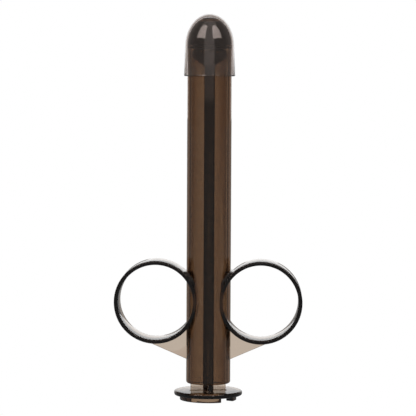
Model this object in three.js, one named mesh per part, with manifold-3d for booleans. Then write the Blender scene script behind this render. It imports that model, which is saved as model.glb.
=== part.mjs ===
// Finger-ring plunger applicator, standing upright on its thumb disc.
// Millimetres, +Z up. The origin is the centre of the foot ring's underside, and the
// plunger runs up the Z axis. The finger rings lie at -X and +X, open along Y.

import * as THREE from "three";
import { mergeVertices } from "three/addons/utils/BufferGeometryUtils.js";
import Module from "manifold-3d";

// ---- driving dimensions -------------------------------------------------------------

const BARREL_RADIUS = 9.5;          // 19 mm tube
const BARREL_WALL = 1.7;
const BARREL_FOOT_Z = 7.2;          // open end, next to the thumb disc
const BARREL_EDGE_ROUND = 0.9;
const SHOULDER_Z = 152;             // where the straight tube turns into the domed nose
const NOSE_HEIGHT = 12.3;
const OUTLET_RADIUS = 2.5;

const CAP_RADIUS = 10.5;            // outside, at the shoulder
const CAP_HEIGHT_OVER_SHOULDER = 13.6;
const CAP_RIM_Z = 139.1;
const CAP_RIM_RADIUS = 10.95;
const CAP_WALL = 0.9;

const RING_CENTRE_X = 22.55;
const RING_CENTRE_Z = 42.5;
const RING_INNER_RADIUS = 16.05;
const RING_OUTER_RADIUS = 17.75;
const RING_DEPTH = 16.4;            // band width, along Y
const RING_EDGE = 0.4;              // broken edge of the band

const WEB_THICKNESS = 1.5;
const WEB_FOOT_Z = 17.5;            // lowest point of the web, on the barrel
const BRIDGE_TOP_Z = 55.6;
const BRIDGE_THICKNESS = 1.25;
const BRIDGE_ROOT_RISE = 3;         // above the ring's centre, inside the barrel's outline

const DISC_RADIUS = 14.65;
const DISC_BOTTOM_Z = 2;
const DISC_TOP_Z = 4;
const DISC_ROUND = 0.7;
const FOOT_OUTER_RADIUS = 12.2;
const FOOT_WALL = 3.2;
const FOOT_NOTCH_DEG = 33;
const FOOT_NOTCH_CENTRE_DEG = -44.5;

const ROD_WIDTH = 15.2;             // tip to tip of the cross-shaped rod
const ROD_RIB = 2.1;                // front and back ribs
const ROD_SIDE_RIB = 1.5;
const PLUNGER_TURN_DEG = 10;        // the round plunger may sit at any turn in the barrel
const CONE_BOTTOM_Z = 144;
const CONE_TOP_Z = 147.2;
const ROD_CORE_RADIUS = 2.35;
const PISTON_RADIUS = 7.6;
const PISTON_TOP_Z = 150.7;
const PISTON_SEAT_RADIUS = 5.8;     // flat ring that the seal sits on
const PISTON_ROUND_HEIGHT = 2;      // rounding from the rim up to the seat
const STUB_RADIUS = 3;
const STUB_NECK_RADIUS = 2.3;
const STUB_NECK_HEIGHT = 1.6;
const STUB_TOP_Z = 156.5;

const SEAL_RADIUS = 7.7;            // slides in the bore of radius 7.8
const SEAL_SHOULDER_Z = 152.4;
const SEAL_DOME_HEIGHT = 9.8;
const SEAL_GROOVE_Z = 152;
const SEAL_GROOVE_DEPTH = 0.4;
const SEAL_GROOVE_HALF_HEIGHT = 0.35;
const SEAL_EDGE = 0.3;

const GAP = 0.3;                    // between neighbouring solids of one moulding
const RUN_GAP = 0.1;                // between the stub and the seal it carries
const ROUND_SEGMENTS = 48;
const RING_SEGMENTS = 60;
const DOME_STEPS = 7;

const BORE_RADIUS = BARREL_RADIUS - BARREL_WALL;
const NOSE_SPLIT_Z = SHOULDER_Z - GAP / 2;
const FOOT_TOP_Z = DISC_BOTTOM_Z - GAP;
const ROD_BOTTOM_Z = DISC_TOP_Z + GAP;

// ---- materials ----------------------------------------------------------------------

function plastic(color, opacity) {
  return new THREE.MeshStandardMaterial({
    color, roughness: 0.08, metalness: 0, transparent: true, opacity,
  });
}

const smokeBrown = plastic(0x5a4636, 0.8);
const smokeGrey = plastic(0x9a9896, 0.45);
const blackRubber = new THREE.MeshStandardMaterial({ color: 0x1c1a19, roughness: 0.45, metalness: 0 });

function part(name, geometry, material) {
  const mesh = new THREE.Mesh(geometry, material.clone());
  mesh.name = name;
  return mesh;
}

// ---- geometry helpers ---------------------------------------------------------------

const radians = THREE.MathUtils.degToRad;

// Quarter ellipse in the (radius, height) plane, from one polar angle to another.
function ellipseArc(radius, height, centreZ, fromDeg, toDeg, steps) {
  const points = [];
  for (let i = 0; i <= steps; i += 1) {
    const angle = radians(fromDeg + ((toDeg - fromDeg) * i) / steps);
    points.push([radius * Math.cos(angle), centreZ + height * Math.sin(angle)]);
  }
  return points;
}

// Turns a closed (radius, z) outline about Z. Outlines run anticlockwise.
function turned(outline, segments = ROUND_SEGMENTS) {
  const points = outline.map(([radius, z]) => new THREE.Vector2(radius, z));
  const onAxis = points[0].x === 0 && points.at(-1).x === 0;
  if (!onAxis) points.push(points[0].clone());
  const geometry = new THREE.LatheGeometry(points, segments);
  return geometry.rotateX(Math.PI / 2);
}

// Extrudes an (x, z) shape through the given depth along Y, centred on y = 0.
function plate(shape, depth, curveSegments = 16) {
  const geometry = new THREE.ExtrudeGeometry(shape, { depth, bevelEnabled: false, curveSegments });
  return geometry.translate(0, 0, -depth / 2).rotateX(Math.PI / 2);
}

const wasm = await Module();
wasm.setup();

function toSolid(geometry) {
  const bare = geometry.clone();
  bare.deleteAttribute("normal");
  bare.deleteAttribute("uv");
  const merged = mergeVertices(bare, 1e-5);
  return new wasm.Manifold(new wasm.Mesh({
    numProp: 3,
    vertProperties: new Float32Array(merged.attributes.position.array),
    triVerts: new Uint32Array(merged.index.array),
  }));
}

function toGeometry(solid) {
  const mesh = solid.getMesh();
  const geometry = new THREE.BufferGeometry();
  geometry.setAttribute("position", new THREE.BufferAttribute(mesh.vertProperties, 3));
  geometry.setIndex(new THREE.BufferAttribute(mesh.triVerts, 1));
  geometry.computeVertexNormals();
  return geometry;
}

// What is left of a geometry outside the barrel, with the working gap round the tube.
function trimmedToBarrel(geometry) {
  const radius = BARREL_RADIUS + GAP;
  const reach = 2 * RING_OUTER_RADIUS;
  const outline = [[0, 0], [radius, 0], [radius, RING_CENTRE_Z + reach], [0, RING_CENTRE_Z + reach]];
  return toGeometry(toSolid(geometry).subtract(toSolid(turned(outline))));
}

// ---- barrel moulding ----------------------------------------------------------------

function barrelTube() {
  const round = BARREL_EDGE_ROUND;
  const corner = ellipseArc(round, round, BARREL_FOOT_Z + round, -90, 0, 3)
    .map(([x, z]) => [x + BARREL_RADIUS - round, z]);
  return turned([
    [BORE_RADIUS + 0.2, BARREL_FOOT_Z],
    ...corner,
    [BARREL_RADIUS, NOSE_SPLIT_Z],
    [BORE_RADIUS, NOSE_SPLIT_Z],
    [BORE_RADIUS, BARREL_FOOT_Z + 0.6],
  ]);
}

// Domed nose with the outlet hole in its top.
function barrelNose() {
  const start = NOSE_SPLIT_Z + GAP;
  const insideHeight = NOSE_HEIGHT - BARREL_WALL;
  const outerEndDeg = THREE.MathUtils.radToDeg(Math.acos(OUTLET_RADIUS / BARREL_RADIUS));
  const innerEndDeg = THREE.MathUtils.radToDeg(Math.acos(OUTLET_RADIUS / BORE_RADIUS));
  return turned([
    ...ellipseArc(BARREL_RADIUS, NOSE_HEIGHT, start, 0, outerEndDeg, DOME_STEPS),
    ...ellipseArc(BORE_RADIUS, insideHeight, start, innerEndDeg, 0, DOME_STEPS),
  ]);
}

// Broad band about a Y axis, cut away where the barrel bulges into it.
function fingerRing(side) {
  const half = RING_DEPTH / 2;
  const outline = [
    [RING_INNER_RADIUS, -half + RING_EDGE],
    [RING_INNER_RADIUS + RING_EDGE, -half],
    [RING_OUTER_RADIUS - RING_EDGE, -half],
    [RING_OUTER_RADIUS, -half + RING_EDGE],
    [RING_OUTER_RADIUS, half - RING_EDGE],
    [RING_OUTER_RADIUS - RING_EDGE, half],
    [RING_INNER_RADIUS + RING_EDGE, half],
    [RING_INNER_RADIUS, half - RING_EDGE],
  ];
  const band = turned(outline, RING_SEGMENTS).rotateX(Math.PI / 2);
  band.translate(side * RING_CENTRE_X, 0, RING_CENTRE_Z);
  return trimmedToBarrel(band);
}

// The same plate for either side; its shape is drawn for +X.
function mirroredPlate(shape, depth, side) {
  const geometry = plate(shape, depth);
  if (side < 0) geometry.rotateZ(Math.PI);
  return geometry;
}

// Thin gusset under the ring: its lower edge leaves the barrel and runs tangent to the band.
function ringWeb(side) {
  const rootX = BARREL_RADIUS + GAP;
  const radius = RING_OUTER_RADIUS + GAP;
  const toCentre = new THREE.Vector2(RING_CENTRE_X - rootX, RING_CENTRE_Z - WEB_FOOT_Z);
  const slope = toCentre.angle() - Math.asin(radius / toCentre.length());
  const tangentAngle = slope - Math.PI / 2;
  const crossing = -Math.PI + Math.acos((RING_CENTRE_X - rootX) / radius);
  const shape = new THREE.Shape();
  shape.moveTo(rootX, WEB_FOOT_Z);
  shape.lineTo(
    RING_CENTRE_X + radius * Math.cos(tangentAngle),
    RING_CENTRE_Z + radius * Math.sin(tangentAngle),
  );
  shape.absarc(RING_CENTRE_X, RING_CENTRE_Z, radius, tangentAngle, crossing, true);
  shape.closePath();
  return mirroredPlate(shape, WEB_THICKNESS, side);
}

// Thickened collar on the band above its joint with the barrel, with a level top.
function ringBridge(side) {
  const inner = RING_OUTER_RADIUS + GAP;
  const outer = inner + BRIDGE_THICKNESS;
  const rise = BRIDGE_TOP_Z - RING_CENTRE_Z;
  const rootAngle = Math.PI - Math.asin(BRIDGE_ROOT_RISE / inner);
  const innerTop = Math.PI - Math.asin(rise / inner);
  const outerTop = Math.PI - Math.asin(rise / outer);
  const shape = new THREE.Shape();
  shape.absarc(RING_CENTRE_X, RING_CENTRE_Z, inner, rootAngle, innerTop, true);
  shape.absarc(RING_CENTRE_X, RING_CENTRE_Z, outer, outerTop, rootAngle, false);
  shape.closePath();
  return trimmedToBarrel(mirroredPlate(shape, RING_DEPTH - 2 * RING_EDGE, side));
}

// ---- cap ----------------------------------------------------------------------------

function capShell() {
  const inside = CAP_RADIUS - CAP_WALL;
  const insideHeight = CAP_HEIGHT_OVER_SHOULDER - CAP_WALL;
  return turned([
    [0, SHOULDER_Z + insideHeight],
    ...ellipseArc(inside, insideHeight, SHOULDER_Z, 80, 0, DOME_STEPS),
    [CAP_RIM_RADIUS - CAP_WALL, CAP_RIM_Z],
    [CAP_RIM_RADIUS, CAP_RIM_Z],
    ...ellipseArc(CAP_RADIUS, CAP_HEIGHT_OVER_SHOULDER, SHOULDER_Z, 0, 80, DOME_STEPS),
    [0, SHOULDER_Z + CAP_HEIGHT_OVER_SHOULDER],
  ]);
}

// ---- piston seal --------------------------------------------------------------------

function pistonSeal() {
  const socketTop = STUB_TOP_Z + GAP;
  const neckTop = PISTON_TOP_Z + STUB_NECK_HEIGHT - RUN_GAP;
  const bottom = PISTON_TOP_Z + RUN_GAP;
  const grooveRadius = SEAL_RADIUS - SEAL_GROOVE_DEPTH;
  return turned([
    [0, socketTop],
    [STUB_RADIUS + RUN_GAP, socketTop],
    [STUB_RADIUS + RUN_GAP, neckTop],
    [STUB_NECK_RADIUS + RUN_GAP, neckTop],
    [STUB_NECK_RADIUS + RUN_GAP, bottom],
    [SEAL_RADIUS - SEAL_EDGE, bottom],
    [SEAL_RADIUS, bottom + SEAL_EDGE],
    [SEAL_RADIUS, SEAL_GROOVE_Z - SEAL_GROOVE_HALF_HEIGHT],
    [grooveRadius, SEAL_GROOVE_Z],
    [SEAL_RADIUS, SEAL_GROOVE_Z + SEAL_GROOVE_HALF_HEIGHT],
    ...ellipseArc(SEAL_RADIUS, SEAL_DOME_HEIGHT, SEAL_SHOULDER_Z, 0, 80, DOME_STEPS),
    [0, SEAL_SHOULDER_Z + SEAL_DOME_HEIGHT],
  ]);
}

// ---- plunger moulding ---------------------------------------------------------------

// Cross-shaped rod with a round core that widens into a cone under the piston.
function plungerRod() {
  const height = CONE_TOP_Z - ROD_BOTTOM_Z;
  const middleZ = ROD_BOTTOM_Z + height / 2;
  const sideRibs = new THREE.BoxGeometry(ROD_WIDTH, ROD_SIDE_RIB, height);
  const otherRibs = new THREE.BoxGeometry(ROD_RIB, ROD_WIDTH, height);
  const coreAndCone = turned([
    [0, ROD_BOTTOM_Z],
    [ROD_CORE_RADIUS, ROD_BOTTOM_Z],
    [ROD_CORE_RADIUS, CONE_BOTTOM_Z],
    [PISTON_RADIUS, CONE_TOP_Z],
    [0, CONE_TOP_Z],
  ]);
  const acrossX = toSolid(sideRibs.translate(0, 0, middleZ));
  const acrossY = toSolid(otherRibs.translate(0, 0, middleZ));
  return toGeometry(acrossX.add(acrossY).add(toSolid(coreAndCone)));
}

// Flange that backs the seal, with the headed stub that the seal snaps over.
function pistonFlange() {
  const neckTop = PISTON_TOP_Z + STUB_NECK_HEIGHT;
  const roundingWidth = PISTON_RADIUS - PISTON_SEAT_RADIUS;
  const roundingFoot = PISTON_TOP_Z - PISTON_ROUND_HEIGHT;
  const rounding = ellipseArc(roundingWidth, PISTON_ROUND_HEIGHT, roundingFoot, 0, 90, 4);
  return turned([
    [0, CONE_TOP_Z + GAP],
    [PISTON_RADIUS, CONE_TOP_Z + GAP],
    ...rounding.map(([x, z]) => [x + PISTON_SEAT_RADIUS, z]),
    [STUB_NECK_RADIUS, PISTON_TOP_Z],
    [STUB_NECK_RADIUS, neckTop],
    [STUB_RADIUS, neckTop],
    [STUB_RADIUS, STUB_TOP_Z - 0.8],
    [STUB_RADIUS - 0.8, STUB_TOP_Z],
    [0, STUB_TOP_Z],
  ]);
}

function thumbDisc() {
  const rimRadius = DISC_RADIUS - DISC_ROUND;
  const lower = ellipseArc(DISC_ROUND, DISC_ROUND, DISC_BOTTOM_Z + DISC_ROUND, -90, 0, 3);
  const upper = ellipseArc(DISC_ROUND, DISC_ROUND, DISC_TOP_Z - DISC_ROUND, 0, 90, 3);
  return turned([
    [0, DISC_BOTTOM_Z],
    ...[...lower, ...upper].map(([x, z]) => [x + rimRadius, z]),
    [0, DISC_TOP_Z],
  ]);
}

// One half of the broken foot ring under the disc.
function footArc(startDeg, endDeg) {
  const shape = new THREE.Shape();
  shape.absarc(0, 0, FOOT_OUTER_RADIUS, radians(startDeg), radians(endDeg), false);
  shape.absarc(0, 0, FOOT_OUTER_RADIUS - FOOT_WALL, radians(endDeg), radians(startDeg), true);
  shape.closePath();
  return new THREE.ExtrudeGeometry(shape, { depth: FOOT_TOP_Z, bevelEnabled: false, curveSegments: 20 });
}

// ---- assembly -----------------------------------------------------------------------

const barrel = new THREE.Group();
barrel.add(part("barrel_tube", barrelTube(), smokeBrown));
barrel.add(part("barrel_nose", barrelNose(), smokeBrown));
for (const [sideName, side] of [["left", -1], ["right", 1]]) {
  barrel.add(part(`finger_ring_${sideName}`, fingerRing(side), smokeBrown));
  barrel.add(part(`ring_web_${sideName}`, ringWeb(side), smokeBrown));
  barrel.add(part(`ring_bridge_${sideName}`, ringBridge(side), smokeBrown));
}

const plunger = new THREE.Group();
plunger.rotation.z = radians(PLUNGER_TURN_DEG);
plunger.add(part("plunger_rod", plungerRod(), smokeBrown));
plunger.add(part("piston_flange", pistonFlange(), smokeBrown));
plunger.add(part("thumb_disc", thumbDisc(), smokeBrown));

const notchCentre = FOOT_NOTCH_CENTRE_DEG - PLUNGER_TURN_DEG;
for (const [index, name] of ["foot_arc_back", "foot_arc_front"].entries()) {
  const start = notchCentre + 180 * index + FOOT_NOTCH_DEG / 2;
  plunger.add(part(name, footArc(start, start + 180 - FOOT_NOTCH_DEG), smokeBrown));
}

const group = new THREE.Group();
group.add(barrel);
group.add(plunger);
group.add(part("piston_seal", pistonSeal(), blackRubber));
group.add(part("cap_shell", capShell(), smokeGrey));

export default group;
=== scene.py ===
"""Finger-ring plunger applicator: the visual model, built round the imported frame."""

from math import acos, asin, atan2, cos, pi, radians, sin, sqrt, tan

import bmesh
import bpy
from mathutils import Matrix, Vector


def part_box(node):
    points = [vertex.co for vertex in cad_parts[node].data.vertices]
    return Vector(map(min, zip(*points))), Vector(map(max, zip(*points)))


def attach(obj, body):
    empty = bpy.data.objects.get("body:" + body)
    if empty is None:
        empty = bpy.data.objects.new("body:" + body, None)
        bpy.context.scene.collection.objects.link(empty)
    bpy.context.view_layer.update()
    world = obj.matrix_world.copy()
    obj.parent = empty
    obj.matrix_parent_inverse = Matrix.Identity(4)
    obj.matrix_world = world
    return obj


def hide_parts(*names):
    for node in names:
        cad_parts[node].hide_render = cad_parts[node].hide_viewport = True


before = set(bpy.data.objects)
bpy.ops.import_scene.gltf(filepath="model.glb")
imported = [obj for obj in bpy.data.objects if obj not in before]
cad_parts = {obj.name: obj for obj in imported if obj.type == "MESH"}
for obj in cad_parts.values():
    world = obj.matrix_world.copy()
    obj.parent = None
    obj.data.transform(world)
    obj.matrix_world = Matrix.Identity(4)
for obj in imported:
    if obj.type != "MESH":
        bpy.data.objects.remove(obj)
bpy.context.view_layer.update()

MM = 0.001

# ---- sizes --------------------------------------------------------------------------
# A size that a node's box shows is read from the frame; the others repeat the part's own.

tube_low, tube_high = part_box("barrel_tube")
BARREL_RADIUS = tube_high.x
BARREL_FOOT = tube_low.z
BARREL_WALL = 1.7 * MM
BORE_RADIUS = BARREL_RADIUS - BARREL_WALL
SHOULDER = 152 * MM
NOSE_HEIGHT = 12.3 * MM
OUTLET_RADIUS = 2.5 * MM
OUTLET_LIP = 0.1 * MM            # rounding of the outlet hole's edges

cap_low, cap_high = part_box("cap_shell")
CAP_RIM = cap_low.z
CAP_TOP = cap_high.z
CAP_RIM_RADIUS = cap_high.x
CAP_RADIUS = 10.5 * MM
CAP_WALL = 0.9 * MM

ring_low, ring_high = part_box("finger_ring_right")
RING_OUTER = (ring_high.z - ring_low.z) / 2
RING_WALL = 1.7 * MM
RING_X = ring_high.x - RING_OUTER
RING_Z = (ring_high.z + ring_low.z) / 2
RING_DEPTH = ring_high.y - ring_low.y

WEB_THICKNESS = 1.5 * MM
WEB_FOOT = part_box("ring_web_right")[0].z
BRIDGE_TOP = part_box("ring_bridge_right")[1].z
COLLAR_THICKNESS = 1.25 * MM
COLLAR_START = 1 * MM            # height of its lower end over the ring's centre
COLLAR_INSET = 0.35 * MM         # how far it stands back from the band's rims

disc_low, disc_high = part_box("thumb_disc")
DISC_RADIUS = disc_high.x
FOOT_OUTER = 12.2 * MM
FOOT_WALL = 3.2 * MM
FOOT_NOTCH = radians(33)
FOOT_NOTCH_CENTRE = radians(-44.5)

ROD_WIDTH = 15.2 * MM
ROD_RIB = 2.1 * MM
ROD_SIDE_RIB = 1.5 * MM
PLUNGER_TURN = radians(10)
CONE_BOTTOM = 144 * MM
CONE_TOP = 147.2 * MM
ROD_CORE_RADIUS = 2.35 * MM
BEAD = 0.3 * MM                  # fillet bead where the rod meets the disc

SEAL_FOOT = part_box("piston_seal")[0].z
FLANGE_RADIUS = 7.6 * MM
STUB_RADIUS = 3 * MM
STUB_NECK_RADIUS = 2.3 * MM
STUB_NECK_HEIGHT = 1.6 * MM
STUB_TOP = 156.5 * MM
FLANGE_SEAT_RADIUS = 5.8 * MM
FLANGE_ROUND_HEIGHT = 2 * MM
SEAL_CLEARANCE = 0.1 * MM        # between the rubber and the stub it snaps over
SEAL_PRESS = 0.02 * MM           # how far the rubber presses into the bore
SEAL_GROOVE_Z = SHOULDER
SEAL_GROOVE_DEPTH = 0.4 * MM
SEAL_GROOVE_REACH = 0.35 * MM    # above and below the groove's middle
SEAL_HEAD_START = radians(2)     # the head follows the nose's inside from here
SEAL_HEAD_END = radians(60)
SEAL_TOP_RISE = 0.3 * MM         # crown of the head's top

EMBED = 0.6 * MM                 # how far one part of a moulding runs into the next
SMALL_EDGE = 0.2 * MM            # rounded edges of plates, collars and foot arcs
ON_AXIS = 1e-7                   # a radius below this is a point on the axis
SEGMENTS = 192
DOME_STEPS = 32
BAND_STEPS = 24
FOOT_STEPS = 72
RIM_STEPS = 16
TOP_STEPS = 10
CREASE = radians(32)             # edges sharper than this stay sharp when shaded


# ---- outlines -----------------------------------------------------------------------

def arc(centre, radii, start, end, steps):
    """Points of an elliptical arc, both ends included."""
    points = []
    for i in range(steps + 1):
        angle = start + (end - start) * i / steps
        points.append((centre[0] + radii[0] * cos(angle), centre[1] + radii[1] * sin(angle)))
    return points


def rounded(corners, steps=6):
    """Closed outline from (x, y, radius) corners; a corner of radius 0 stays sharp."""
    outline = []
    count = len(corners)
    for i, (x, y, radius) in enumerate(corners):
        corner = Vector((x, y))
        if radius == 0:
            outline.append((x, y))
            continue
        before = (Vector(corners[i - 1][:2]) - corner).normalized()
        after = (Vector(corners[(i + 1) % count][:2]) - corner).normalized()
        half = acos(max(-1, min(1, before.dot(after)))) / 2
        centre = corner + (before + after).normalized() * (radius / sin(half))
        first = corner + before * (radius / tan(half)) - centre
        last = corner + after * (radius / tan(half)) - centre
        start = atan2(first.y, first.x)
        turn = atan2(first.x * last.y - first.y * last.x, first.dot(last))
        outline += arc(centre, (radius, radius), start, start + turn, steps)
    return outline


# ---- mesh building ------------------------------------------------------------------

def add_object(name, mesh):
    """Links a finished bmesh as an object and frees it."""
    bmesh.ops.recalc_face_normals(mesh, faces=mesh.faces)
    data = bpy.data.meshes.new(name)
    mesh.to_mesh(data)
    mesh.free()
    piece = bpy.data.objects.new(name, data)
    bpy.context.scene.collection.objects.link(piece)
    return piece


def turned(name, outline, axis="Z"):
    """Solid of revolution from a (radius, height) outline, about Z or Y."""
    mesh = bmesh.new()
    angles = [2 * pi * i / SEGMENTS for i in range(SEGMENTS)]
    loops = []
    for radius, height in outline:
        if radius < ON_AXIS:
            loops.append([mesh.verts.new((0, 0, height))])
            continue
        loops.append([mesh.verts.new((radius * cos(a), radius * sin(a), height)) for a in angles])
    for lower, upper in zip(loops, loops[1:] + loops[:1]):
        if len(lower) == len(upper) == 1:
            continue
        for i in range(SEGMENTS):
            j = (i + 1) % SEGMENTS
            corners = [lower[i % len(lower)], lower[j % len(lower)]]
            corners += [upper[j % len(upper)], upper[i % len(upper)]]
            mesh.faces.new(list(dict.fromkeys(corners)))
    if axis == "Y":
        bmesh.ops.rotate(mesh, verts=mesh.verts, matrix=Matrix.Rotation(pi / 2, 3, "X"))
    return add_object(name, mesh)


def prism(name, outline, start, end, axis="Z", edge=0.0):
    """An outline carried from start to end along Z, or along Y for an (x, z) outline."""
    mesh = bmesh.new()
    if axis == "Z":
        base = [mesh.verts.new((x, y, start)) for x, y in outline]
        direction = Vector((0, 0, end - start))
    else:
        base = [mesh.verts.new((x, start, z)) for x, z in outline]
        direction = Vector((0, end - start, 0))
    face = mesh.faces.new(base)
    swept = bmesh.ops.extrude_face_region(mesh, geom=[face])
    moved = [item for item in swept["geom"] if isinstance(item, bmesh.types.BMVert)]
    bmesh.ops.translate(mesh, verts=moved, vec=direction)
    bmesh.ops.recalc_face_normals(mesh, faces=mesh.faces)
    if edge:
        ends = [f for f in mesh.faces if abs(f.normal.dot(direction.normalized())) > 0.99]
        rims = list({e for f in ends for e in f.edges})
        bmesh.ops.bevel(mesh, geom=rims, offset=edge, segments=3, profile=0.5, affect="EDGES")
    return add_object(name, mesh)


def combine(target, others, operation):
    """Joins the other solids to the target, or cuts them from it, and removes them."""
    for other in others:
        modifier = target.modifiers.new(operation.lower(), "BOOLEAN")
        modifier.operation = operation
        modifier.solver = "MANIFOLD"
        modifier.object = other
    graph = bpy.context.evaluated_depsgraph_get()
    baked = bpy.data.meshes.new_from_object(target.evaluated_get(graph))
    baked.materials.clear()
    target.modifiers.clear()
    target.data = baked
    for other in others:
        bpy.data.objects.remove(other)
    return target


def shade(piece):
    """Smooth shading that stays sharp across real edges."""
    piece.data.shade_smooth()
    piece.data.set_sharp_from_angle(angle=CREASE)
    return piece


# ---- barrel moulding ----------------------------------------------------------------

def barrel_shell():
    """Tube and domed nose in one wall, with the outlet hole at the top."""
    outer_flare = 0.35 * MM
    inner_flare = 0.2 * MM
    outer_end = acos((OUTLET_RADIUS + outer_flare) / BARREL_RADIUS)
    inner_end = acos((OUTLET_RADIUS + inner_flare) / BORE_RADIUS)
    mouth_edge = 0.25 * MM
    foot_edge = 0.9 * MM
    foot = rounded([
        (BORE_RADIUS, BARREL_FOOT, mouth_edge),
        (BARREL_RADIUS, BARREL_FOOT, foot_edge),
        (BARREL_RADIUS, SHOULDER, 0),
        (BORE_RADIUS, SHOULDER, 0),
    ])
    outline = foot[:-2]
    outline += arc((0, SHOULDER), (BARREL_RADIUS, NOSE_HEIGHT), 0, outer_end, DOME_STEPS)
    outlet_top = outline[-1][1]
    inner = arc((0, SHOULDER), (BORE_RADIUS, NOSE_HEIGHT - BARREL_WALL), inner_end, 0, DOME_STEPS)
    outlet_bottom = inner[0][1]
    outline.append((OUTLET_RADIUS + OUTLET_LIP, outlet_top - OUTLET_LIP / 5))
    outline.append((OUTLET_RADIUS, outlet_top - 2 * OUTLET_LIP))
    outline.append((OUTLET_RADIUS, outlet_bottom + OUTLET_LIP))
    outline += inner
    return turned("barrel_shell", outline)


def barrel_core():
    """Solid cylinder whose side lies inside the barrel's wall."""
    radius = BARREL_RADIUS - EMBED
    return turned("core", [(0, 0), (radius, 0), (radius, CAP_RIM), (0, CAP_RIM)])


def finger_band(side):
    """Broad finger ring with rounded rims, open along Y."""
    half = RING_DEPTH / 2
    inner = RING_OUTER - RING_WALL
    rim = 0.45 * MM
    outline = rounded([
        (inner, -half, rim),
        (RING_OUTER, -half, rim),
        (RING_OUTER, half, rim),
        (inner, half, rim),
    ])
    band = turned("band", outline, axis="Y")
    band.data.transform(Matrix.Translation((side * RING_X, 0, RING_Z)))
    return combine(band, [barrel_core()], "DIFFERENCE")


def web_plate(side):
    """Gusset under a ring, its lower edge tangent to the band."""
    root = BARREL_RADIUS
    radius = RING_OUTER
    to_centre = Vector((RING_X - root, RING_Z - WEB_FOOT))
    slope = atan2(to_centre.y, to_centre.x) - asin(radius / to_centre.length)
    inset = radius - EMBED
    tangent = slope - pi / 2
    crossing = -pi + asin(sqrt(inset ** 2 - (RING_X - root) ** 2) / inset)
    outline = [(root - EMBED, WEB_FOOT - EMBED * tan(slope))]
    outline += [(RING_X + radius * cos(tangent), RING_Z + radius * sin(tangent))]
    outline += arc((RING_X, RING_Z), (inset, inset), tangent, crossing, BAND_STEPS)
    outline += [(root - EMBED, outline[-1][1])]
    outline = [(side * x, z) for x, z in outline]
    return prism("web", outline, -WEB_THICKNESS / 2, WEB_THICKNESS / 2, "Y", SMALL_EDGE)


def collar(side):
    """Bridge: a thicker, level-topped stretch of a band where it runs into the barrel."""
    inner = RING_OUTER - EMBED
    outer = RING_OUTER + COLLAR_THICKNESS
    half = RING_DEPTH / 2 - COLLAR_INSET
    rise = BRIDGE_TOP - RING_Z
    root = pi - asin(COLLAR_START / outer)
    centre = (RING_X, RING_Z)
    outline = arc(centre, (inner, inner), root, pi - asin(rise / inner), BAND_STEPS)
    outline += arc(centre, (outer, outer), pi - asin(rise / outer), root, BAND_STEPS)
    outline = [(side * x, z) for x, z in outline]
    block = prism("collar", outline, -half, half, "Y", SMALL_EDGE)
    return combine(block, [barrel_core()], "DIFFERENCE")


def barrel_moulding():
    """The one clear moulding: tube, nose, finger rings, webs and bridges."""
    limbs = []
    for side in (-1, 1):
        limbs += [finger_band(side), web_plate(side), collar(side)]
    piece = shade(combine(barrel_shell(), limbs, "UNION"))
    piece.name = "barrel_moulding"
    nodes = ["barrel_tube", "barrel_nose"]
    for name in ("finger_ring", "ring_web", "ring_bridge"):
        nodes += [name + "_left", name + "_right"]
    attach(piece, "barrel")
    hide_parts(*nodes)
    return piece


# ---- plunger moulding ---------------------------------------------------------------

def cross_rod(bottom, top, swell=0.0):
    """Cross-shaped rod with broken rib edges and small root fillets."""
    tip = ROD_WIDTH / 2 + swell
    front = ROD_RIB / 2 + swell
    side = ROD_SIDE_RIB / 2 + swell
    edge = 0.3 * MM
    root = 0.35 * MM
    half = [(front, side, root), (tip, side, edge), (tip, -side, edge)]
    half += [(front, -side, root), (front, -tip, edge), (-front, -tip, edge)]
    corners = half + [(-x, -y, radius) for x, y, radius in half]
    return prism("rod", rounded(corners, steps=5), bottom, top)


def piston_carrier():
    """The rod's round core, and the cone, flange and headed stub at its end."""
    flange_top = SEAL_FOOT - SEAL_CLEARANCE
    neck_top = flange_top + STUB_NECK_HEIGHT
    rim = (FLANGE_SEAT_RADIUS, flange_top - FLANGE_ROUND_HEIGHT)
    rounding = (FLANGE_RADIUS - FLANGE_SEAT_RADIUS, FLANGE_ROUND_HEIGHT)
    cone_root = 1 * MM
    cone_edge = 0.8 * MM
    head_root = 0.2 * MM
    head_edge = 0.8 * MM
    cone = rounded([
        (0, disc_high.z - EMBED, 0),
        (ROD_CORE_RADIUS, disc_high.z - EMBED, 0),
        (ROD_CORE_RADIUS, CONE_BOTTOM, cone_root),
        (FLANGE_RADIUS, CONE_TOP, cone_edge),
        (FLANGE_RADIUS, rim[1], 0),
    ])
    stub = rounded([
        (STUB_NECK_RADIUS, flange_top, 0),
        (STUB_NECK_RADIUS, neck_top, 0),
        (STUB_RADIUS, neck_top, head_root),
        (STUB_RADIUS, STUB_TOP, head_edge),
        (0, STUB_TOP, 0),
    ])
    return turned("carrier", cone[:-1] + arc(rim, rounding, 0, pi / 2, RIM_STEPS) + stub)


def thumb_disc():
    """Round thumb disc with a rolled rim."""
    roll = 0.75 * MM
    return turned("disc", rounded([
        (0, disc_low.z, 0),
        (DISC_RADIUS, disc_low.z, roll),
        (DISC_RADIUS, disc_high.z, roll),
        (0, disc_high.z, 0),
    ], steps=8))


def foot_arc(index):
    """One half of the broken foot ring."""
    start = FOOT_NOTCH_CENTRE - PLUNGER_TURN + FOOT_NOTCH / 2 + index * pi
    end = start + pi - FOOT_NOTCH
    inner = FOOT_OUTER - FOOT_WALL
    outline = arc((0, 0), (FOOT_OUTER, FOOT_OUTER), start, end, FOOT_STEPS)
    outline += arc((0, 0), (inner, inner), end, start, FOOT_STEPS)
    return prism("foot", outline, 0, disc_low.z + EMBED, "Z", SMALL_EDGE)


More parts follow.
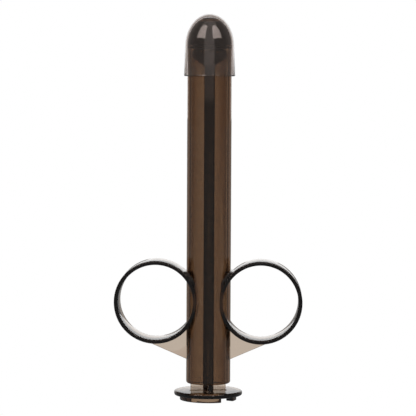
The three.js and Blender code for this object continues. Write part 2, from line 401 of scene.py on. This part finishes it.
def plunger_moulding():
    """The other clear moulding: rod, piston carrier, thumb disc and foot ring."""
    root = disc_high.z - EMBED
    limbs = [cross_rod(root, CONE_TOP + EMBED / 2), cross_rod(root, disc_high.z + BEAD, BEAD)]
    limbs += [piston_carrier(), foot_arc(0), foot_arc(1)]
    piece = shade(combine(thumb_disc(), limbs, "UNION"))
    piece.name = "plunger_moulding"
    piece.data.transform(Matrix.Rotation(PLUNGER_TURN, 4, "Z"))
    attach(piece, "plunger")
    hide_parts("plunger_rod", "piston_flange", "thumb_disc", "foot_arc_back", "foot_arc_front")
    return piece


# ---- seal and cap -------------------------------------------------------------------

def piston_seal():
    """Rubber piston: a lip, a groove and a head that fills the nose up to its shallow top."""
    neck_top = SEAL_FOOT - SEAL_CLEARANCE + STUB_NECK_HEIGHT - SEAL_CLEARANCE
    socket = STUB_RADIUS + SEAL_CLEARANCE
    socket_top = STUB_TOP + 3 * SEAL_CLEARANCE
    socket_edge = 0.6 * MM
    neck = STUB_NECK_RADIUS + SEAL_CLEARANCE
    outer = BORE_RADIUS + SEAL_PRESS
    foot_edge = 0.3 * MM
    lip_edge = 0.2 * MM
    groove_root = 0.1 * MM
    groove_low = SEAL_GROOVE_Z - SEAL_GROOVE_REACH
    groove_high = SEAL_GROOVE_Z + SEAL_GROOVE_REACH
    lower = rounded([
        (0, socket_top, 0),
        (socket, socket_top, socket_edge),
        (socket, neck_top, 0),
        (neck, neck_top, 0),
        (neck, SEAL_FOOT, 0),
        (outer, SEAL_FOOT, foot_edge),
        (outer, groove_low, lip_edge),
        (outer - SEAL_GROOVE_DEPTH, SEAL_GROOVE_Z, groove_root),
        (outer, groove_high, 0),
        (0, groove_high, 0),
    ])
    dome = (outer, NOSE_HEIGHT - BARREL_WALL + SEAL_PRESS)
    head = arc((0, SHOULDER), dome, SEAL_HEAD_START, SEAL_HEAD_END, DOME_STEPS)
    top_radius, top_start = head[-1]
    top = arc((0, top_start), (top_radius, SEAL_TOP_RISE), 0, pi / 2, TOP_STEPS)
    outline = lower[:-1] + head + top[1:-1] + [(0, top[-1][1])]
    piece = shade(turned("piston_seal_rubber", outline))
    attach(piece, "seal")
    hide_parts("piston_seal")
    return piece


def cap_shell():
    """Push-on cap: a flared skirt under a domed crown."""
    crown = CAP_TOP - SHOULDER
    inside = CAP_RADIUS - CAP_WALL
    inner_edge = 0.4 * MM
    outer_edge = 0.42 * MM
    rim = rounded([
        (inside, SHOULDER, 0),
        (CAP_RIM_RADIUS - CAP_WALL, CAP_RIM, inner_edge),
        (CAP_RIM_RADIUS, CAP_RIM, outer_edge),
        (CAP_RADIUS, SHOULDER, 0),
    ])
    inner = arc((0, SHOULDER), (inside, crown - CAP_WALL), pi / 2, 0, DOME_STEPS)
    outer = arc((0, SHOULDER), (CAP_RADIUS, crown), 0, pi / 2, DOME_STEPS)
    outline = [(0, inner[0][1])] + inner[1:-1] + rim + outer[1:-1] + [(0, outer[-1][1])]
    piece = shade(turned("cap_moulding", outline))
    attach(piece, "cap")
    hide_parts("cap_shell")
    return piece


# ---- materials ----------------------------------------------------------------------

def link(tree, source, target):
    """Connects an output socket to an input socket."""
    tree.links.new(source, target)


def new_material(name):
    """Empty node material with its Principled shader and output."""
    material = bpy.data.materials.new(name)
    material.use_nodes = True
    tree = material.node_tree
    tree.nodes.clear()
    output = tree.nodes.new("ShaderNodeOutputMaterial")
    shader = tree.nodes.new("ShaderNodeBsdfPrincipled")
    link(tree, shader.outputs["BSDF"], output.inputs["Surface"])
    return material, tree, shader, output


def noise(tree, scale, detail, low, high):
    """Noise over the object's own coordinates, mapped to a range."""
    place = tree.nodes.new("ShaderNodeTexCoord")
    texture = tree.nodes.new("ShaderNodeTexNoise")
    texture.inputs["Scale"].default_value = scale
    texture.inputs["Detail"].default_value = detail
    spread = tree.nodes.new("ShaderNodeMapRange")
    spread.inputs["From Min"].default_value = 0.3
    spread.inputs["From Max"].default_value = 0.7
    spread.inputs["To Min"].default_value = low
    spread.inputs["To Max"].default_value = high
    link(tree, place.outputs["Object"], texture.inputs["Vector"])
    link(tree, texture.outputs["Fac"], spread.inputs["Value"])
    return spread.outputs["Result"]


def add_bump(tree, shader, height, strength, distance):
    """Feeds a height into the shader's normal."""
    bump = tree.nodes.new("ShaderNodeBump")
    bump.inputs["Strength"].default_value = strength
    bump.inputs["Distance"].default_value = distance
    link(tree, height, bump.inputs["Height"])
    link(tree, bump.outputs["Normal"], shader.inputs["Normal"])


def clear_plastic(name, pass_colour, density):
    """Glossy transparent plastic that tints by depth, with faint moulding flow."""
    material, tree, shader, output = new_material(name)
    shader.inputs["Base Color"].default_value = (1, 1, 1, 1)
    shader.inputs["Transmission Weight"].default_value = 1
    shader.inputs["IOR"].default_value = 1.57
    polish = noise(tree, scale=420, detail=3, low=0.015, high=0.05)
    link(tree, polish, shader.inputs["Roughness"])
    flow = noise(tree, scale=70, detail=2, low=0, high=1)
    add_bump(tree, shader, flow, strength=0.08, distance=0.05 * MM)
    depth = tree.nodes.new("ShaderNodeVolumeAbsorption")
    depth.inputs["Color"].default_value = (*pass_colour, 1)
    depth.inputs["Density"].default_value = density
    link(tree, depth.outputs["Volume"], output.inputs["Volume"])
    return material


def moulded_rubber(name):
    """Satin black rubber with a fine moulded grain."""
    material, tree, shader, _ = new_material(name)
    colour = tree.nodes.new("ShaderNodeMix")
    colour.data_type = "RGBA"
    colour.inputs["A"].default_value = (0.016, 0.013, 0.012, 1)
    colour.inputs["B"].default_value = (0.034, 0.029, 0.027, 1)
    blotches = noise(tree, scale=900, detail=4, low=0, high=1)
    link(tree, blotches, colour.inputs["Factor"])
    link(tree, colour.outputs["Result"], shader.inputs["Base Color"])
    satin = noise(tree, scale=1500, detail=3, low=0.42, high=0.6)
    link(tree, satin, shader.inputs["Roughness"])
    grain = noise(tree, scale=2600, detail=4, low=0, high=1)
    add_bump(tree, shader, grain, strength=0.3, distance=0.02 * MM)
    return material


# ---- stage --------------------------------------------------------------------------

VIEW_AZIMUTH = radians(1.7)
VIEW_PITCH = radians(3.09)
VIEW_ROLL = radians(0.27)
VIEW_DISTANCE = 0.857
VIEW_LENS = 172.7
VIEW_CENTRE_X = -0.42 * MM
VIEW_CENTRE_Z = 82.6 * MM

BACKDROP_CORE = radians(15)      # the white backdrop as reflections find it, off straight back
BACKDROP_EDGE = radians(46)
ROOM_LEVEL = 0.22
FRONT_LEVEL = 0.55               # pale strip between the softboxes
FRONT_EDGE = radians(26)
FRONT_SOFTNESS = 0.15            # share of the strip's half-width over which it fades
PANELS = 8                       # tall light panels all round, as seen through clear plastic
PANEL_TURN = radians(5)
PANEL_LEVELS = (0.56, 1)         # between panels, and on one
CEILING_LEVEL = 0.25
CEILING_PITCHES = (radians(14), radians(40))    # where the dimming overhead starts and ends
SOFTBOX_RADIANCE = 1.9
SOFTBOX_AZIMUTHS = {"softbox_left": radians(-44), "softbox_right": radians(42)}
FLOOR_Z = -130 * MM
FLOOR_HALF_WIDTH = 30
WARM_TINT = (1, 0.84, 0.77)
TINT_POWER = 4                   # how fast the tint sets in as the surround grows dimmer
MAX_BOUNCES = 24
GLOSSY_BOUNCES = 8


def add_camera():
    """Long lens, a little above the middle of the part and pitched down to it."""
    back = Vector((
        sin(VIEW_AZIMUTH) * cos(VIEW_PITCH),
        -cos(VIEW_AZIMUTH) * cos(VIEW_PITCH),
        sin(VIEW_PITCH),
    ))
    level = Vector((cos(VIEW_AZIMUTH), sin(VIEW_AZIMUTH), 0))
    upright = back.cross(level)
    right = level * cos(VIEW_ROLL) + upright * sin(VIEW_ROLL)
    up = back.cross(right)
    target = level * VIEW_CENTRE_X + Vector((0, 0, VIEW_CENTRE_Z))
    data = bpy.data.cameras.new("camera")
    data.lens = VIEW_LENS
    data.sensor_width = 36
    camera = bpy.data.objects.new("camera", data)
    bpy.context.scene.collection.objects.link(camera)
    turn = Matrix((right, up, back)).transposed().to_4x4()
    camera.matrix_world = Matrix.Translation(target + back * VIEW_DISTANCE) @ turn
    bpy.context.scene.camera = camera


def calculate(tree, operation, first, second):
    """A maths node on two inputs, each a socket or a number."""
    node = tree.nodes.new("ShaderNodeMath")
    node.operation = operation
    for socket, value in zip(node.inputs, (first, second)):
        if isinstance(value, (int, float)):
            socket.default_value = value
        else:
            link(tree, value, socket)
    return node.outputs["Value"]


def fade(tree, value, edges, levels):
    """Smooth step of a value from one level to another."""
    spread = tree.nodes.new("ShaderNodeMapRange")
    spread.interpolation_type = "SMOOTHSTEP"
    names = ("From Min", "From Max", "To Min", "To Max")
    for name, number in zip(names, (*edges, *levels)):
        spread.inputs[name].default_value = number
    link(tree, value, spread.inputs["Value"])
    return spread.outputs["Result"]


def seen_directly(tree):
    """Two flags: a ray straight from the camera, and one that only came through clear plastic."""
    path = tree.nodes.new("ShaderNodeLightPath")
    unreflected = calculate(tree, "LESS_THAN", path.outputs["Glossy Depth"], 0.5)
    through = calculate(tree, "MULTIPLY", path.outputs["Is Transmission Ray"], unreflected)
    return path.outputs["Is Camera Ray"], through


def reflected_level(tree, across, back):
    """How bright reflections find the surround in a direction."""
    backdrop = fade(tree, back, (cos(BACKDROP_EDGE), cos(BACKDROP_CORE)), (ROOM_LEVEL, 1))
    sideways = calculate(tree, "ABSOLUTE", across, 0)
    reach = (sin(FRONT_EDGE) * (1 - FRONT_SOFTNESS), sin(FRONT_EDGE) * (1 + FRONT_SOFTNESS))
    strip = fade(tree, sideways, reach, (FRONT_LEVEL, 0))
    ahead = calculate(tree, "LESS_THAN", back, 0)
    return calculate(tree, "MAXIMUM", backdrop, calculate(tree, "MULTIPLY", strip, ahead))


def panel_level(tree, across, back, up):
    """How bright the surround is through clear plastic: panels all round, dimmer overhead."""
    turn = calculate(tree, "ADD", calculate(tree, "ARCTAN2", across, back), PANEL_TURN)
    wave = calculate(tree, "COSINE", calculate(tree, "MULTIPLY", turn, PANELS), 0)
    dim, full = PANEL_LEVELS
    swing = calculate(tree, "MULTIPLY", wave, (full - dim) / 2)
    panels = calculate(tree, "ADD", swing, (full + dim) / 2)
    rise = [sin(pitch) for pitch in CEILING_PITCHES]
    ceiling = fade(tree, up, rise, (1, CEILING_LEVEL))
    return calculate(tree, "MULTIPLY", panels, ceiling)


def add_world():
    """White for the camera, panels through clear plastic, dimmer and warmer in reflections."""
    world = bpy.data.worlds.new("studio")
    bpy.context.scene.world = world
    world.use_nodes = True
    tree = world.node_tree
    place = tree.nodes.new("ShaderNodeTexCoord")
    split = tree.nodes.new("ShaderNodeSeparateXYZ")
    link(tree, place.outputs["Generated"], split.inputs["Vector"])
    across, back, up = split.outputs
    straight, through = seen_directly(tree)
    through_level = calculate(tree, "MULTIPLY", through, panel_level(tree, across, back, up))
    direct = calculate(tree, "MAXIMUM", straight, through_level)
    reflected = calculate(tree, "SUBTRACT", 1, through)
    indirect = calculate(tree, "MULTIPLY", reflected_level(tree, across, back), reflected)
    level = calculate(tree, "MAXIMUM", direct, indirect)
    tint = tree.nodes.new("ShaderNodeMix")
    tint.data_type = "RGBA"
    tint.inputs["A"].default_value = (*WARM_TINT, 1)
    tint.inputs["B"].default_value = (1, 1, 1, 1)
    link(tree, calculate(tree, "POWER", level, TINT_POWER), tint.inputs["Factor"])
    background = tree.nodes["Background"]
    link(tree, tint.outputs["Result"], background.inputs["Color"])
    link(tree, level, background.inputs["Strength"])


def add_floor():
    """Wide glowing floor, white but for reflections, low enough for the plunger at full draw."""
    mesh = bmesh.new()
    bmesh.ops.create_grid(mesh, x_segments=8, y_segments=8, size=FLOOR_HALF_WIDTH)
    floor = add_object("floor", mesh)
    floor.location.z = FLOOR_Z
    material = bpy.data.materials.new("floor")
    material.use_nodes = True
    tree = material.node_tree
    tree.nodes.clear()
    output = tree.nodes.new("ShaderNodeOutputMaterial")
    glow = tree.nodes.new("ShaderNodeEmission")
    level = calculate(tree, "MAXIMUM", *seen_directly(tree))
    level = calculate(tree, "MAXIMUM", level, ROOM_LEVEL)
    link(tree, level, glow.inputs["Strength"])
    link(tree, glow.outputs["Emission"], output.inputs["Surface"])
    floor.data.materials.append(material)


def add_softbox(name, azimuth):
    """Upright softbox in front of the part, its lower edge above the cap."""
    distance = 0.8
    width = 0.66
    height = 1.36
    middle = Vector((0, 0, 1.15))
    data = bpy.data.lights.new(name, "AREA")
    data.shape = "RECTANGLE"
    data.size = width
    data.size_y = height
    data.energy = SOFTBOX_RADIANCE * pi * width * height
    data.color = WARM_TINT
    light = bpy.data.objects.new(name, data)
    bpy.context.scene.collection.objects.link(light)
    away = Vector((sin(azimuth), -cos(azimuth), 0))
    light.location = middle + away * distance
    light.rotation_euler = away.to_track_quat("Z", "Y").to_euler()


# ---- build --------------------------------------------------------------------------

smoke_brown = clear_plastic("clear_smoke_brown", pass_colour=(0.42, 0.25, 0.06), density=730)
smoke_grey = clear_plastic("clear_smoke_grey", pass_colour=(0.41, 0.41, 0.41), density=205)
black_rubber = moulded_rubber("moulded_black_rubber")

barrel_moulding().data.materials.append(smoke_brown)
plunger_moulding().data.materials.append(smoke_brown)
piston_seal().data.materials.append(black_rubber)
cap_shell().data.materials.append(smoke_grey)

add_camera()
add_world()
add_floor()
for name, azimuth in SOFTBOX_AZIMUTHS.items():
    add_softbox(name, azimuth)
bpy.context.scene.view_settings.view_transform = "Standard"
bpy.context.scene.cycles.max_bounces = MAX_BOUNCES
bpy.context.scene.cycles.transmission_bounces = MAX_BOUNCES
bpy.context.scene.cycles.glossy_bounces = GLOSSY_BOUNCES
